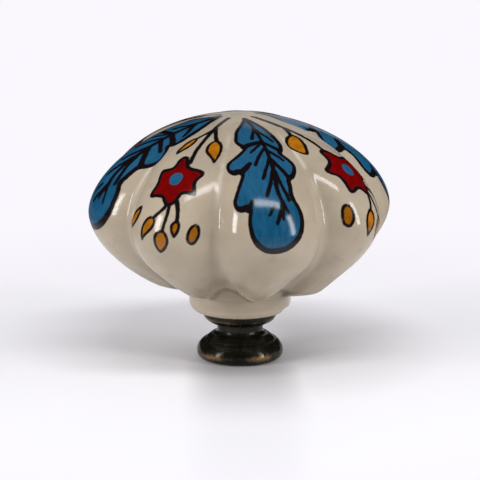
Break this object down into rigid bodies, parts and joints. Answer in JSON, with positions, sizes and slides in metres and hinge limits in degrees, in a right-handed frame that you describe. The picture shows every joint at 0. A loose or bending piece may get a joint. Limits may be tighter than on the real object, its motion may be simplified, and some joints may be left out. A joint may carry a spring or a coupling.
{
  "type": "cabinet knob",
  "caption": "Melon-shaped glazed ceramic cabinet knob with painted leaves and flowers, cemented on a turned antique bronze base with a tapped hole.",
  "frame": {"origin": "centre of the underside of the base, on the cabinet front", "axes": "+Z along the knob's axis, away from the cabinet front; +X and +Y through the crowns of two lobes"},
  "size_m": [0.04, 0.04, 0.0327],
  "materials": {
    "glazed_ceramic": "glossy, painted under the glaze",
    "antique_bronze": "dark antique patina, rubbed through on the edges",
    "setting_cement": "matt"
  },
  "bodies": {
    "root": {"ceramic_head": "glazed_ceramic", "metal_base": "antique_bronze", "cement_fill": "setting_cement"}
  },
  "joints": []
}
